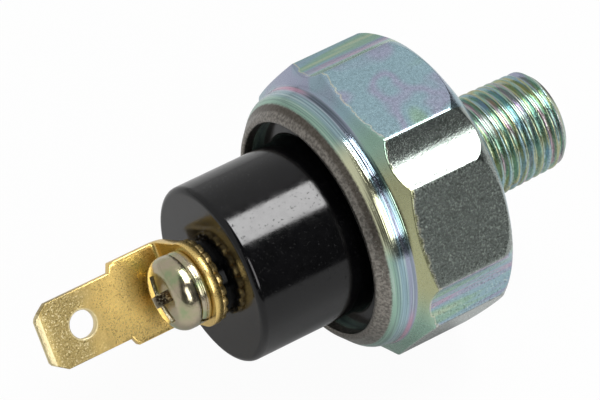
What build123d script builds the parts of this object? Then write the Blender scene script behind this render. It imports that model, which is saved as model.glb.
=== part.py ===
"""Oil pressure sender with one blade terminal, in millimetres.

The sender lies on one flat of its hexagon. +X runs along its axis out of the threaded end, -X
towards the blade, and +Z is up. The origin is the middle of the shoulder face, where the thread
starts. Every round piece is a profile of (x, radius) turned about X.
"""

import math
import os

from build123d import *

# Steel body: hexagon, threaded spigot and rolled collar
HEX_AF = 27.0
HOLLOW_WIDTH = 5.0
HOLLOW_DEPTH = 0.6
HEX_BACK_EDGE = 1.65
HEX_BACK_R = 3.0
HEX_FRONT_EDGE = 10.0
HEX_CHAMFER_DEG = 30.0
HEX_ARRIS = 0.35
SPIGOT_D = 9.86
SPIGOT_LENGTH = 11.75
SPIGOT_CHAMFER = 0.75
COLLAR_STEP = 0.9
COLLAR_LENGTH = 3.18
COLLAR_TAPER = 0.25
COLLAR_WALL = 1.6
COLLAR_ROOT_R = 1.0
LIP_THICKNESS = 1.6
LIP_OVERLAP = 0.65
LIP_CONE_LENGTH = 1.5
LIP_CONE_STEP = 1.5
LIP_SHOULDER_R = 1.3
LIP_NOSE_R = 0.6
LIP_INNER_R = 0.2
PORT_D = 3.5
PORT_DEPTH = 10.0
DRILL_POINT_DEG = 118.0
ORIFICE_D = 1.0
OIL_POCKET_D = 15.0
OIL_POCKET_DEPTH = 1.0

# Pieces stacked inside the body, from the oil side towards the blade
ROUND_GAP = 0.05
SEAL_THICKNESS = 0.8
SEAL_SETBACK = 0.5
DIAPHRAGM_THICKNESS = 0.3
THRUST_PLATE_D = 13.6
THRUST_PLATE_THICKNESS = 1.0
THRUST_PLATE_EDGE_R = 0.2
CONTACT_TRAVEL = 0.6
TRAVEL_CLEARANCE = 0.05
PLATE_CLEARANCE = 0.7
CONTACT_RING_WEB = 1.15
PLUNGER_CLEARANCE = 0.4
PLUNGER_D = 4.2
PLUNGER_NOSE_D = 2.4
PLUNGER_NOSE_LENGTH = 1.6
NOSE_CHAMFER = 0.3
DISC_D = 9.2
DISC_THICKNESS = 0.6
DISC_RIM_THICKNESS = 0.35
DISC_BEAD_D = 7.6
GASKET_THICKNESS = 0.8
GASKET_WIDTH = 3.95

# Spring and its adjustment
SPRING_WIRE_D = 0.6
SPRING_MEAN_D = 5.2
SPRING_LENGTH = 5.7
SPRING_TURNS = 5.5
SEAT_D = 7.0
SEAT_THICKNESS = 0.8
SEAT_NOSE_CLEARANCE = 0.4
SEAT_NOSE_LENGTH = 1.1
ADJUSTER_LENGTH = 4.0
ADJUSTER_STICK_OUT = 0.5
ADJUSTER_SLOT_WIDTH = 0.7
ADJUSTER_SLOT_DEPTH = 1.0
ADJUSTER_CHAMFER = 0.3

# Black moulded insulator and the brass insert that it holds
INSULATOR_GAP = 1.85
INSULATOR_STICK_OUT = 10.24
INSULATOR_BEVEL = 0.35
FLANGE_THICKNESS = 3.4
FLANGE_FILLET = 0.5
CAVITY_CLEARANCE = 0.8
INSERT_WALL = 1.4
INSERT_COLLAR_STEP = 1.1
INSERT_COLLAR_LENGTH = 2.0
INSERT_COLLAR_START = 3.0
INSERT_STICK_OUT = 1.81
BOSS_STEP = 0.55
KNURL_LENGTH = 0.6
SLEEVE_WALL = 0.4
KNURL_COUNT = 24
KNURL_SIDE = 0.55
SCREW_D = 4.0

# Bent brass blade terminal
BLADE_ANGLE_DEG = 49.6
STRIP_THICKNESS = 0.8
STRIP_WIDTH = 7.95
RING_BULGE = 0.175
RING_CLEARANCE = 0.15
BLADE_CLEARANCE = 1.15
BEND_INNER_R = 0.45
BLADE_REACH = 12.955
TAB_LENGTH = 8.2
TAB_WIDTH = 6.35
TAB_HOLE_D = 2.6
TAB_HOLE_TO_TIP = 4.2
TAB_CORNER_LENGTH = 1.5
TAB_CORNER_WIDTH = 0.95
TIP_BEVEL_LENGTH = 0.6
TIP_BEVEL_DEPTH = 0.22
SHOULDER_SLOPE = 0.35

# Terminal screw and its spring washer
WASHER_THICKNESS = 1.1
WASHER_CLEARANCE = 0.1
WASHER_D = 6.9
WASHER_SPLIT = 0.5
WASHER_SPLIT_DEG = 30.0
HEAD_D = 7.0
HEAD_HEIGHT = 2.5
HEAD_SIDE_HEIGHT = 0.7
HEAD_CROWN_D = 4.0
HEAD_CROWN_DROP = 0.25
SCREW_TO_ADJUSTER = 1.64
SCREW_TIP_CHAMFER = 0.4
RECESS_SPAN = 4.4
RECESS_WING = 1.05
RECESS_DEPTH = 1.7
RECESS_TAPER_DEG = 12.0
RECESS_TURN_DEG = 34.7

# Radii and diameters that follow
edge_to_corner = HOLLOW_WIDTH / 2 / math.cos(math.radians(30))
edge_r = math.hypot(HEX_AF / 2, HEX_AF / 2 * math.tan(math.radians(30)) - edge_to_corner)
hollow_r = (HOLLOW_WIDTH**2 / 4 + HOLLOW_DEPTH**2) / 2 / HOLLOW_DEPTH
hollow_centre = math.sqrt(edge_r**2 - HOLLOW_WIDTH**2 / 4) - HOLLOW_DEPTH + hollow_r
collar_r = HEX_AF / 2 - COLLAR_STEP
chamber_r = collar_r - COLLAR_WALL
lip_opening_r = chamber_r - LIP_OVERLAP
lip_shoulder_r = collar_r - COLLAR_TAPER
lip_nose_r = lip_shoulder_r - LIP_CONE_STEP
insulator_r = lip_opening_r - INSULATOR_GAP
stack_r = chamber_r - ROUND_GAP
recess_r = THRUST_PLATE_D / 2 + PLATE_CLEARANCE
ring_hole_r = PLUNGER_D / 2 + PLUNGER_CLEARANCE
disc_hole_r = PLUNGER_NOSE_D / 2 + ROUND_GAP
seat_nose_r = (SPRING_MEAN_D - SPRING_WIRE_D) / 2 - SEAT_NOSE_CLEARANCE
cavity_r = DISC_D / 2 + CAVITY_CLEARANCE
insert_hole_r = SCREW_D / 2 + ROUND_GAP
insert_r = SCREW_D / 2 + INSERT_WALL
insert_collar_r = insert_r + INSERT_COLLAR_STEP
boss_r = insert_r + BOSS_STEP
sleeve_r = insert_r + SLEEVE_WALL
terminal_ring_r = STRIP_WIDTH / 2 + RING_BULGE
terminal_hole_r = SCREW_D / 2 + RING_CLEARANCE
washer_hole_r = SCREW_D / 2 + WASHER_CLEARANCE

# Planes across the axis, as x
chamfer_rise = math.tan(math.radians(HEX_CHAMFER_DEG))
collar_root_x = -HEX_FRONT_EDGE - (edge_r - collar_r) * chamfer_rise
lip_front_x = collar_root_x - COLLAR_LENGTH
lip_shoulder_x = lip_front_x + LIP_CONE_LENGTH
flange_front_x = lip_front_x + LIP_THICKNESS
flange_back_x = flange_front_x + FLANGE_THICKNESS
ring_front_x = flange_back_x + GASKET_THICKNESS
plate_front_x = ring_front_x + CONTACT_RING_WEB + TRAVEL_CLEARANCE + CONTACT_TRAVEL
ring_recess_x = ring_front_x + CONTACT_RING_WEB
diaphragm_front_x = plate_front_x + THRUST_PLATE_THICKNESS
diaphragm_back_x = diaphragm_front_x + DIAPHRAGM_THICKNESS
seat_x = diaphragm_back_x + SEAL_THICKNESS
disc_front_x = ring_front_x - DISC_THICKNESS
spring_front_x = disc_front_x - SPRING_LENGTH
adjuster_back_x = spring_front_x - SEAT_THICKNESS
adjuster_front_x = adjuster_back_x - ADJUSTER_LENGTH
insert_back_x = adjuster_back_x - ADJUSTER_STICK_OUT
insulator_front_x = lip_front_x - INSULATOR_STICK_OUT
boss_front_x = insulator_front_x - INSERT_STICK_OUT
knurl_back_x = boss_front_x + KNURL_LENGTH
washer_back_x = boss_front_x - STRIP_THICKNESS
head_back_x = washer_back_x - WASHER_THICKNESS
screw_end_x = adjuster_front_x - SCREW_TO_ADJUSTER
tip_x = washer_back_x - BLADE_REACH
collar_start_x = insert_back_x - INSERT_COLLAR_START
collar_end_x = collar_start_x - INSERT_COLLAR_LENGTH

blade_normal = Vector(
    0,
    -math.sin(math.radians(BLADE_ANGLE_DEG)),
    math.cos(math.radians(BLADE_ANGLE_DEG)),
)
blade_plane = Plane(origin=(0, 0, 0), x_dir=(1, 0, 0), z_dir=blade_normal)
side_plane = Plane(origin=(0, 0, 0), x_dir=(1, 0, 0), z_dir=blade_plane.y_dir)


# Body: a hexagon with hollow corners, turned at both ends, with a threaded spigot and a rolled
# collar
with BuildPart() as hex_body:
    with BuildSketch(Plane.YZ) as blank_section:
        RegularPolygon(radius=HEX_AF / 2, side_count=6, major_radius=False)
        with PolarLocations(hollow_centre, 6):
            Circle(hollow_r, mode=Mode.SUBTRACT)
        fillet(blank_section.vertices(), radius=HEX_ARRIS)
    extrude(amount=lip_front_x)
    with BuildSketch(Plane.XY) as turned_outline:
        with BuildLine():
            Polyline(
                (0, 0),
                (0, edge_r - HEX_BACK_EDGE / chamfer_rise),
                (-HEX_BACK_EDGE, edge_r),
                (-HEX_FRONT_EDGE, edge_r),
                (collar_root_x, collar_r),
                (lip_shoulder_x, lip_shoulder_r),
                (lip_front_x, lip_nose_r),
                (lip_front_x, 0),
                close=True,
            )
        make_face()
        for corner, corner_r in (
            ((-HEX_BACK_EDGE, edge_r), HEX_BACK_R),
            ((collar_root_x, collar_r), COLLAR_ROOT_R),
            ((lip_shoulder_x, lip_shoulder_r), LIP_SHOULDER_R),
            ((lip_front_x, lip_nose_r), LIP_NOSE_R),
        ):
            fillet(turned_outline.vertices().sort_by_distance(corner)[0], radius=corner_r)
    revolve(axis=Axis.X, mode=Mode.INTERSECT)
    # spigot, left plain for its thread
    with BuildSketch(Plane.YZ):
        Circle(SPIGOT_D / 2)
    extrude(amount=SPIGOT_LENGTH)
    spigot_end = hex_body.edges().filter_by(GeomType.CIRCLE).sort_by(Axis.X)[-1]
    chamfer(spigot_end, length=SPIGOT_CHAMFER)
    # chamber, oil pocket, orifice and port, bored on the axis
    port_point_x = SPIGOT_LENGTH - PORT_DEPTH
    drill_point = (PORT_D - ORIFICE_D) / 2 / math.tan(math.radians(DRILL_POINT_DEG / 2))
    with BuildSketch(Plane.XY):
        with BuildLine():
            Polyline(
                (lip_front_x, 0),
                (lip_front_x, lip_opening_r),
                (flange_front_x, lip_opening_r),
                (flange_front_x, chamber_r),
                (seat_x, chamber_r),
                (seat_x, OIL_POCKET_D / 2),
                (seat_x + OIL_POCKET_DEPTH, OIL_POCKET_D / 2),
                (seat_x + OIL_POCKET_DEPTH, ORIFICE_D / 2),
                (port_point_x - drill_point, ORIFICE_D / 2),
                (port_point_x, PORT_D / 2),
                (SPIGOT_LENGTH, PORT_D / 2),
                (SPIGOT_LENGTH, 0),
                close=True,
            )
        make_face()
    revolve(axis=Axis.X, mode=Mode.SUBTRACT)
    lip_rings = hex_body.edges().filter_by(GeomType.CIRCLE).filter_by(
        lambda e: abs(e.radius - lip_opening_r) < 1e-3
    )
    fillet(lip_rings.sort_by(Axis.X)[0], radius=LIP_INNER_R)

# Flat rubber seal under the diaphragm
with BuildPart() as diaphragm_seal:
    with BuildSketch(Plane.YZ.offset(diaphragm_back_x)):
        Circle(stack_r)
        Circle(OIL_POCKET_D / 2 + SEAL_SETBACK, mode=Mode.SUBTRACT)
    extrude(amount=SEAL_THICKNESS)

# Diaphragm that the oil pushes
with BuildPart() as diaphragm:
    with BuildSketch(Plane.YZ.offset(diaphragm_front_x)):
        Circle(stack_r)
    extrude(amount=DIAPHRAGM_THICKNESS)

# Thrust plate that spreads the spring's load over the diaphragm
with BuildPart() as thrust_plate:
    with BuildSketch(Plane.YZ.offset(plate_front_x)):
        Circle(THRUST_PLATE_D / 2)
    extrude(amount=THRUST_PLATE_THICKNESS)
    fillet(thrust_plate.edges().filter_by(GeomType.CIRCLE), radius=THRUST_PLATE_EDGE_R)

# Earthed contact ring: its recess clears the thrust plate, its web carries the contact disc
with BuildPart() as contact_ring:
    with BuildSketch(Plane.YZ.offset(ring_front_x)):
        Circle(stack_r)
    extrude(amount=diaphragm_front_x - ring_front_x)
    with BuildSketch(Plane.YZ.offset(ring_recess_x)):
        Circle(recess_r)
    extrude(amount=diaphragm_front_x - ring_recess_x, mode=Mode.SUBTRACT)
    with BuildSketch(Plane.YZ.offset(ring_front_x)):
        Circle(ring_hole_r)
    extrude(amount=CONTACT_RING_WEB, mode=Mode.SUBTRACT)

# Plunger with a nose that centres the contact disc and the spring
with BuildPart() as plunger:
    with BuildSketch(Plane.YZ.offset(plate_front_x)):
        Circle(PLUNGER_D / 2)
    extrude(amount=ring_front_x - plate_front_x)
    with BuildSketch(Plane.YZ.offset(ring_front_x)):
        Circle(PLUNGER_NOSE_D / 2)
    extrude(amount=-PLUNGER_NOSE_LENGTH)
    chamfer(plunger.edges().filter_by(GeomType.CIRCLE).sort_by(Axis.X)[0], length=NOSE_CHAMFER)

# Moving contact disc, with a raised bead that meets the contact ring
with BuildPart() as contact_disc:
    with BuildSketch(Plane.XY):
        with BuildLine():
            Polyline(
                (ring_front_x, disc_hole_r),
                (ring_front_x, DISC_BEAD_D / 2),
                (disc_front_x + DISC_RIM_THICKNESS, DISC_D / 2),
                (disc_front_x, DISC_D / 2),
                (disc_front_x, disc_hole_r),
                close=True,
            )
        make_face()
    revolve(axis=Axis.X)

# Paper gasket between the contact ring and the insulator's flange
with BuildPart() as flange_gasket:
    with BuildSketch(Plane.YZ.offset(flange_back_x)):
        Circle(stack_r)
        Circle(stack_r - GASKET_WIDTH, mode=Mode.SUBTRACT)
    extrude(amount=GASKET_THICKNESS)

# Compression spring with ground ends, coiled a little past both faces and trimmed flat
coil_pitch = SPRING_LENGTH / SPRING_TURNS
with BuildPart() as calibration_spring:
    with BuildLine():
        coil = Helix(
            pitch=coil_pitch,
            height=SPRING_LENGTH,
            radius=SPRING_MEAN_D / 2,
            center=(disc_front_x, 0, 0),
            direction=(-1, 0, 0),
        )
    with BuildSketch(Plane(origin=coil @ 0, z_dir=coil % 0)):
        Circle(SPRING_WIRE_D / 2)
    sweep(is_frenet=True)
    with BuildSketch(Plane.YZ.offset(disc_front_x)):
        Circle(SPRING_MEAN_D)
    extrude(amount=-SPRING_LENGTH, mode=Mode.INTERSECT)

# Spring seat, a cap with a nose inside the coil
with BuildPart() as spring_seat:
    with BuildSketch(Plane.YZ.offset(adjuster_back_x)):
        Circle(SEAT_D / 2)
    extrude(amount=SEAT_THICKNESS)
    with BuildSketch(Plane.YZ.offset(spring_front_x)):
        Circle(seat_nose_r)
    extrude(amount=SEAT_NOSE_LENGTH)
    chamfer(spring_seat.edges().filter_by(GeomType.CIRCLE).sort_by(Axis.X)[-1], length=NOSE_CHAMFER)

# Slotted adjusting screw that sets the spring's load
with BuildPart() as adjusting_screw:
    with BuildSketch(Plane.YZ.offset(adjuster_front_x)):
        Circle(SCREW_D / 2)
    extrude(amount=ADJUSTER_LENGTH)
    chamfer(adjusting_screw.edges().filter_by(GeomType.CIRCLE), length=ADJUSTER_CHAMFER)
    with BuildSketch(Plane.YZ.offset(adjuster_front_x)):
        Rectangle(2 * SCREW_D, ADJUSTER_SLOT_WIDTH)
    extrude(amount=ADJUSTER_SLOT_DEPTH, mode=Mode.SUBTRACT)

# Brass insert: a tapped tube with a collar that locks it in the moulding and a knurled boss
with BuildPart() as terminal_insert:
    with BuildSketch(Plane.XY):
        with BuildLine():
            Polyline(
                (insert_back_x, insert_hole_r),
                (insert_back_x, insert_r),
                (collar_start_x, insert_r),
                (collar_start_x, insert_collar_r),
                (collar_end_x, insert_collar_r),
                (collar_end_x, insert_r),
                (knurl_back_x, insert_r),
                (knurl_back_x, boss_r),
                (boss_front_x, boss_r),
                (boss_front_x, insert_hole_r),
                close=True,
            )
        make_face()
    revolve(axis=Axis.X)
    with BuildSketch(Plane.YZ.offset(knurl_back_x)):
        with PolarLocations(boss_r, KNURL_COUNT):
            Rectangle(KNURL_SIDE, KNURL_SIDE, rotation=45)
    extrude(amount=-KNURL_LENGTH, mode=Mode.SUBTRACT)

# Insulator: a flange under the lip, a plain barrel with a sleeve in front, a cavity for the
# spring
with BuildPart() as insulator:
    with BuildSketch(Plane.XY):
        with BuildLine():
            Polyline(
                (flange_back_x, cavity_r),
                (flange_back_x, stack_r),
                (flange_front_x, stack_r),
                (flange_front_x, insulator_r),
                (insulator_front_x, insulator_r),
                (insulator_front_x, sleeve_r),
                (knurl_back_x, sleeve_r),
                (knurl_back_x, insert_r + ROUND_GAP),
                (collar_end_x, insert_r + ROUND_GAP),
                (collar_end_x, insert_collar_r + ROUND_GAP),
                (collar_start_x, insert_collar_r + ROUND_GAP),
                (collar_start_x, insert_r + ROUND_GAP),
                (insert_back_x, insert_r + ROUND_GAP),
                (insert_back_x, cavity_r),
                close=True,
            )
        make_face()
    revolve(axis=Axis.X)
    barrel_rings = insulator.edges().filter_by(GeomType.CIRCLE).filter_by(
        lambda e: abs(e.radius - insulator_r) < 1e-3
    )
    chamfer(barrel_rings.sort_by(Axis.X)[0], length=INSULATOR_BEVEL)
    fillet(barrel_rings.sort_by(Axis.X)[-1], radius=FLANGE_FILLET)

# Blade terminal: an L of strip, bent once, then trimmed to the ring's and the tab's outlines
inner_face = HEAD_D / 2 + BLADE_CLEARANCE
outer_face = inner_face + STRIP_THICKNESS
bend_outer_r = BEND_INNER_R + STRIP_THICKNESS
tab_start_x = tip_x + TAB_LENGTH
half_strip = STRIP_WIDTH / 2
half_tab = TAB_WIDTH / 2
with BuildPart() as blade_terminal:
    with BuildSketch(side_plane):
        with BuildLine():
            Polyline(
                (washer_back_x, inner_face - BEND_INNER_R),
                (washer_back_x, -terminal_ring_r),
                (boss_front_x, -terminal_ring_r),
                (boss_front_x, outer_face - bend_outer_r),
            )
            CenterArc(
                (washer_back_x - BEND_INNER_R, inner_face - BEND_INNER_R), bend_outer_r, 0, 90
            )
            Polyline(
                (washer_back_x - BEND_INNER_R, outer_face),
                (tip_x + TIP_BEVEL_LENGTH, outer_face),
                (tip_x, outer_face - TIP_BEVEL_DEPTH),
                (tip_x, inner_face + TIP_BEVEL_DEPTH),
                (tip_x + TIP_BEVEL_LENGTH, inner_face),
                (washer_back_x - BEND_INNER_R, inner_face),
            )
            CenterArc(
                (washer_back_x - BEND_INNER_R, inner_face - BEND_INNER_R), BEND_INNER_R, 0, 90
            )
        make_face()
    extrude(amount=terminal_ring_r, both=True)
    # ring outline, seen along the axis
    with BuildSketch(
        Plane(origin=(boss_front_x, 0, 0), x_dir=blade_plane.y_dir, z_dir=(-1, 0, 0))
    ):
        Circle(terminal_ring_r)
        Rectangle(STRIP_WIDTH, outer_face, align=(Align.CENTER, Align.MIN))
        Circle(terminal_hole_r, mode=Mode.SUBTRACT)
    extrude(amount=boss_front_x - tip_x, mode=Mode.INTERSECT)
    # shoulders, tab and tip corners, seen square to the blade
    with BuildSketch(blade_plane.offset(-outer_face)):
        with BuildLine():
            Polyline(
                (boss_front_x, terminal_ring_r),
                (washer_back_x, terminal_ring_r),
                (washer_back_x, half_strip),
                (tab_start_x + SHOULDER_SLOPE, half_strip),
                (tab_start_x, half_tab),
                (tip_x + TAB_CORNER_LENGTH, half_tab),
                (tip_x, half_tab - TAB_CORNER_WIDTH),
                (tip_x, 0),
                (boss_front_x, 0),
                close=True,
            )
        make_face()
        mirror(about=Plane.XZ)
        with Locations((tip_x + TAB_HOLE_TO_TIP, 0)):
            Circle(TAB_HOLE_D / 2, mode=Mode.SUBTRACT)
    extrude(amount=outer_face + terminal_ring_r, mode=Mode.INTERSECT)

# Split spring washer under the screw's head
with BuildPart() as spring_washer:
    with BuildSketch(Plane.YZ.offset(head_back_x)):
        Circle(WASHER_D / 2)
        Circle(washer_hole_r, mode=Mode.SUBTRACT)
    extrude(amount=WASHER_THICKNESS)
    with BuildSketch(
        Plane(
            origin=(head_back_x + WASHER_THICKNESS / 2, 0, 0),
            x_dir=(0, 1, 0),
            z_dir=(math.cos(math.radians(WASHER_SPLIT_DEG)), 0, math.sin(math.radians(WASHER_SPLIT_DEG))),
        )
    ):
        with Locations((WASHER_D / 2, 0)):
            Rectangle(WASHER_D, WASHER_SPLIT)
    extrude(amount=WASHER_THICKNESS * 2, both=True, mode=Mode.SUBTRACT)

# Pan head terminal screw with a cross recess
head_front_x = head_back_x - HEAD_HEIGHT
crown_x = head_front_x + HEAD_CROWN_DROP
with BuildPart() as terminal_screw:
    with BuildSketch(Plane.XY):
        with BuildLine():
            Polyline(
                (head_front_x, 0),
                (screw_end_x, 0),
                (screw_end_x, SCREW_D / 2 - SCREW_TIP_CHAMFER),
                (screw_end_x - SCREW_TIP_CHAMFER, SCREW_D / 2),
                (head_back_x, SCREW_D / 2),
                (head_back_x, HEAD_D / 2),
                (head_back_x - HEAD_SIDE_HEIGHT, HEAD_D / 2),
            )
            TangentArc(
                (head_back_x - HEAD_SIDE_HEIGHT, HEAD_D / 2),
                (crown_x, HEAD_CROWN_D / 2),
                tangent=(-1, 0),
            )
            ThreePointArc(
                (crown_x, HEAD_CROWN_D / 2),
                (head_front_x + HEAD_CROWN_DROP / 4, HEAD_CROWN_D / 4),
                (head_front_x, 0),
            )
        make_face()
    revolve(axis=Axis.X)
    recess_plane = Plane(
        origin=(head_front_x, 0, 0),
        x_dir=(0, math.cos(math.radians(RECESS_TURN_DEG)), math.sin(math.radians(RECESS_TURN_DEG))),
        z_dir=(-1, 0, 0),
    )
    with BuildSketch(recess_plane):
        Rectangle(RECESS_SPAN, RECESS_WING)
        Rectangle(RECESS_WING, RECESS_SPAN)
    extrude(amount=-RECESS_DEPTH, taper=RECESS_TAPER_DEG, mode=Mode.SUBTRACT)

pieces = {
    "hex_body": hex_body,
    "diaphragm_seal": diaphragm_seal,
    "diaphragm": diaphragm,
    "thrust_plate": thrust_plate,
    "contact_ring": contact_ring,
    "plunger": plunger,
    "contact_disc": contact_disc,
    "flange_gasket": flange_gasket,
    "calibration_spring": calibration_spring,
    "spring_seat": spring_seat,
    "adjusting_screw": adjusting_screw,
    "terminal_insert": terminal_insert,
    "insulator": insulator,
    "blade_terminal": blade_terminal,
    "spring_washer": spring_washer,
    "terminal_screw": terminal_screw,
}

os.makedirs("parts", exist_ok=True)
for name, piece in pieces.items():
    piece.part.label = name
    export_step(piece.part, f"parts/{name}.step")
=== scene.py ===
"""Oil pressure sender with one blade terminal: its visible pieces, finishes and studio stage.

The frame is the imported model's: +X along the axis out of the threaded end, +Z up, origin in the
middle of the shoulder face. Turned pieces are profiles of (x, radius) carried round the axis.
"""

import math

import bmesh
import bpy
import numpy as np
from bpy.props import FloatProperty, FloatVectorProperty, IntProperty, PointerProperty
from mathutils import Matrix, Vector


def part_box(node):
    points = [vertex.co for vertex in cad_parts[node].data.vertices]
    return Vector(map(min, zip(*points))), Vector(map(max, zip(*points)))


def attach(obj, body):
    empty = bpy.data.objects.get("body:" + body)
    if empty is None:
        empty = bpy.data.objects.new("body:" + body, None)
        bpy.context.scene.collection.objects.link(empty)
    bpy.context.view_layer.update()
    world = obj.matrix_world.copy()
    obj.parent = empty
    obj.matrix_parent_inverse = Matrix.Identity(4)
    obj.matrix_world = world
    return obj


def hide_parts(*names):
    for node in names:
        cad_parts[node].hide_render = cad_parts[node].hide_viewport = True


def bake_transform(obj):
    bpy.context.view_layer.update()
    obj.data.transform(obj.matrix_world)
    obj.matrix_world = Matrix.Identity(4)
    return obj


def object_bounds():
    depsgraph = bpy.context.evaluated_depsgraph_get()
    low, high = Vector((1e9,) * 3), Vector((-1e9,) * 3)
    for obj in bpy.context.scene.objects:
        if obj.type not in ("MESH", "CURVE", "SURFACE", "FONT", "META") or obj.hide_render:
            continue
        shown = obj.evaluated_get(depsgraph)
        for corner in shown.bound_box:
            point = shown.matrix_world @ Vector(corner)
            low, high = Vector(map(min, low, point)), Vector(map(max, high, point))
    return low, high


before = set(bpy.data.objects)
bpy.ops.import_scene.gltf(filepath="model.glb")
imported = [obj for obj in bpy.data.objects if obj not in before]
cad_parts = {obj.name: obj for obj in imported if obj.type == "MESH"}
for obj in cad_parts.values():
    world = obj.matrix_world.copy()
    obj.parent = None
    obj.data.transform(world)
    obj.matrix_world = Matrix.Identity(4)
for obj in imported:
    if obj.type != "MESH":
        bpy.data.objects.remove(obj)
cad_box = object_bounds()

bl_info = {
    "name": "Oil pressure sender",
    "version": (1, 0, 0),
    "blender": (4, 5, 0),
    "location": "View3D > Sidebar > Sender",
    "description": "Builds an oil pressure sender's visible pieces, finishes and stage",
    "category": "Object",
}

MM = 0.001
# points that are closer than this, in metres, are one point
SAME_PLACE = 1e-7
# where the thread's rows end, in front of the shoulder face
THREAD_STOP = 0.25 * MM


def length(name, millimetres, description):
    """A length property, given in millimetres and kept in metres."""
    return FloatProperty(
        name=name, description=description, default=millimetres * MM, unit="LENGTH", precision=5
    )


def angle(name, degrees, description):
    """An angle property, given in degrees and kept in radians."""
    return FloatProperty(
        name=name, description=description, default=math.radians(degrees), unit="ROTATION"
    )


def colour(name, value, description):
    """A colour property."""
    return FloatVectorProperty(
        name=name, description=description, default=value, subtype="COLOR", min=0, max=1, size=3
    )


class BodySizes(bpy.types.PropertyGroup):
    """Sizes of the steel body."""

    across_flats: length("Across flats", 27.0, "Width of the hexagon between two flats")
    hollow_width: length("Hollow width", 5.0, "Width of the hollow along each corner")
    hollow_depth: length("Hollow depth", 0.6, "Depth of the hollow along each corner")
    arris: length("Arris", 0.42, "Rounding of the edges between flats and hollows")
    back_edge: length("Back edge", 1.65, "From the shoulder face to the end of the long edges")
    back_round: length("Back round", 3.0, "Rounding of the hexagon's turned back")
    front_edge: length("Front edge", 10.0, "From the shoulder face to the front of the long edges")
    chamfer: angle("Chamfer", 30.0, "Slope of the turned ends of the hexagon")
    collar_step: length("Collar step", 0.9, "Collar's surface below the flats")
    collar_length: length("Collar length", 3.18, "Length of the rolled collar")
    collar_taper: length("Collar taper", 0.25, "Fall of the collar's surface towards the lip")
    cone: length("Lip cone", 1.5, "Length and depth of the lip's outer cone")
    collar_wall: length("Collar wall", 1.6, "Thickness of the collar's wall")
    lip_thickness: length("Lip thickness", 1.6, "Thickness of the rolled lip")
    lip_overlap: length("Lip overlap", 0.65, "How far the lip covers the flange")
    seat: length("Seat", 4.49, "From the shoulder face to the seal's seat")
    pocket_radius: length("Pocket radius", 7.5, "Radius of the oil pocket")
    port_radius: length("Port radius", 1.75, "Radius of the oil port")
    orifice_radius: length("Orifice radius", 0.5, "Radius of the damping orifice")
    spigot_length: length("Spigot length", 11.75, "Length of the threaded spigot")
    thread_small: length("Thread, small end", 4.74, "Crest radius at the spigot's end")
    thread_large: length("Thread, large end", 5.06, "Crest radius at the shoulder")
    pitch: length("Pitch", 0.907, "Pitch of the thread")
    thread_depth: length("Thread depth", 0.5, "Depth of the thread")


class InsulatorSizes(bpy.types.PropertyGroup):
    """Sizes of the black moulding and of the brass insert in it."""

    radius: length("Radius", 8.5, "Radius of the barrel")
    front: length("Front", 24.688, "From the shoulder face to the front of the barrel")
    flange_front: length("Flange front", 12.598, "From the shoulder face to the flange's front")
    flange_back: length("Flange back", 9.198, "From the shoulder face to the flange's back")
    bevel: length("Bevel", 0.6, "Bevel round the front of the barrel")
    flange_radius: length("Flange radius", 10.95, "Radius of the flange under the lip")
    cavity_radius: length("Cavity radius", 5.4, "Radius of the spring's cavity")
    cavity_end: length("Cavity end", 15.998, "From the shoulder face to the cavity's end")
    insert_radius: length("Insert radius", 3.1, "Radius of the brass insert")
    insert_hole: length("Insert hole", 2.05, "Radius of the insert's tapped hole")
    collar_radius: length("Insert collar radius", 4.5, "Radius of the insert's collar")
    collar_start: length("Insert collar start", 18.998, "From the shoulder face to the collar")
    collar_length: length("Insert collar length", 2.0, "Length of the insert's collar")
    boss_radius: length("Boss radius", 3.95, "Radius of the knurled boss")
    boss_length: length("Boss length", 1.2, "How far the insert stands out")
    sleeve_radius: length("Sleeve radius", 3.4, "Radius of the moulding's sleeve round the insert")
    knurl_length: length("Knurl length", 0.6, "Length of the insert's knurled rim")
    teeth: IntProperty(name="Teeth", description="Teeth of the knurl", default=20, min=6)


class TerminalSizes(bpy.types.PropertyGroup):
    """Sizes of the bent brass blade terminal."""

    turn: angle("Turn", 49.6, "Turn of the blade about the axis")
    thickness: length("Thickness", 0.8, "Thickness of the strip")
    ring_radius: length("Ring radius", 4.05, "Radius of the ring under the screw")
    ring_hole: length("Ring hole", 2.15, "Radius of the ring's hole")
    strip_width: length("Strip width", 7.95, "Width of the strip next to the bend")
    bend_start: length("Bend start", 4.2, "From the axis to the start of the bend")
    bend_radius: length("Bend radius", 0.45, "Radius inside the bend")
    reach: length("Reach", 13.315, "From the ring's outer face to the tip")
    tab_length: length("Tab length", 8.2, "From the shoulders to the tip")
    tab_width: length("Tab width", 6.35, "Width of the tab")
    hole_radius: length("Hole radius", 1.3, "Radius of the tab's hole")
    hole_to_tip: length("Hole to tip", 4.2, "From the hole's middle to the tip")
    corner_length: length("Corner length", 1.5, "Cut corner, along the tab")
    corner_width: length("Corner width", 0.95, "Cut corner, across the tab")
    bevel_length: length("Bevel length", 0.6, "Length of the tip's bevel")
    bevel_depth: length("Bevel depth", 0.22, "Depth of the tip's bevel")


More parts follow.
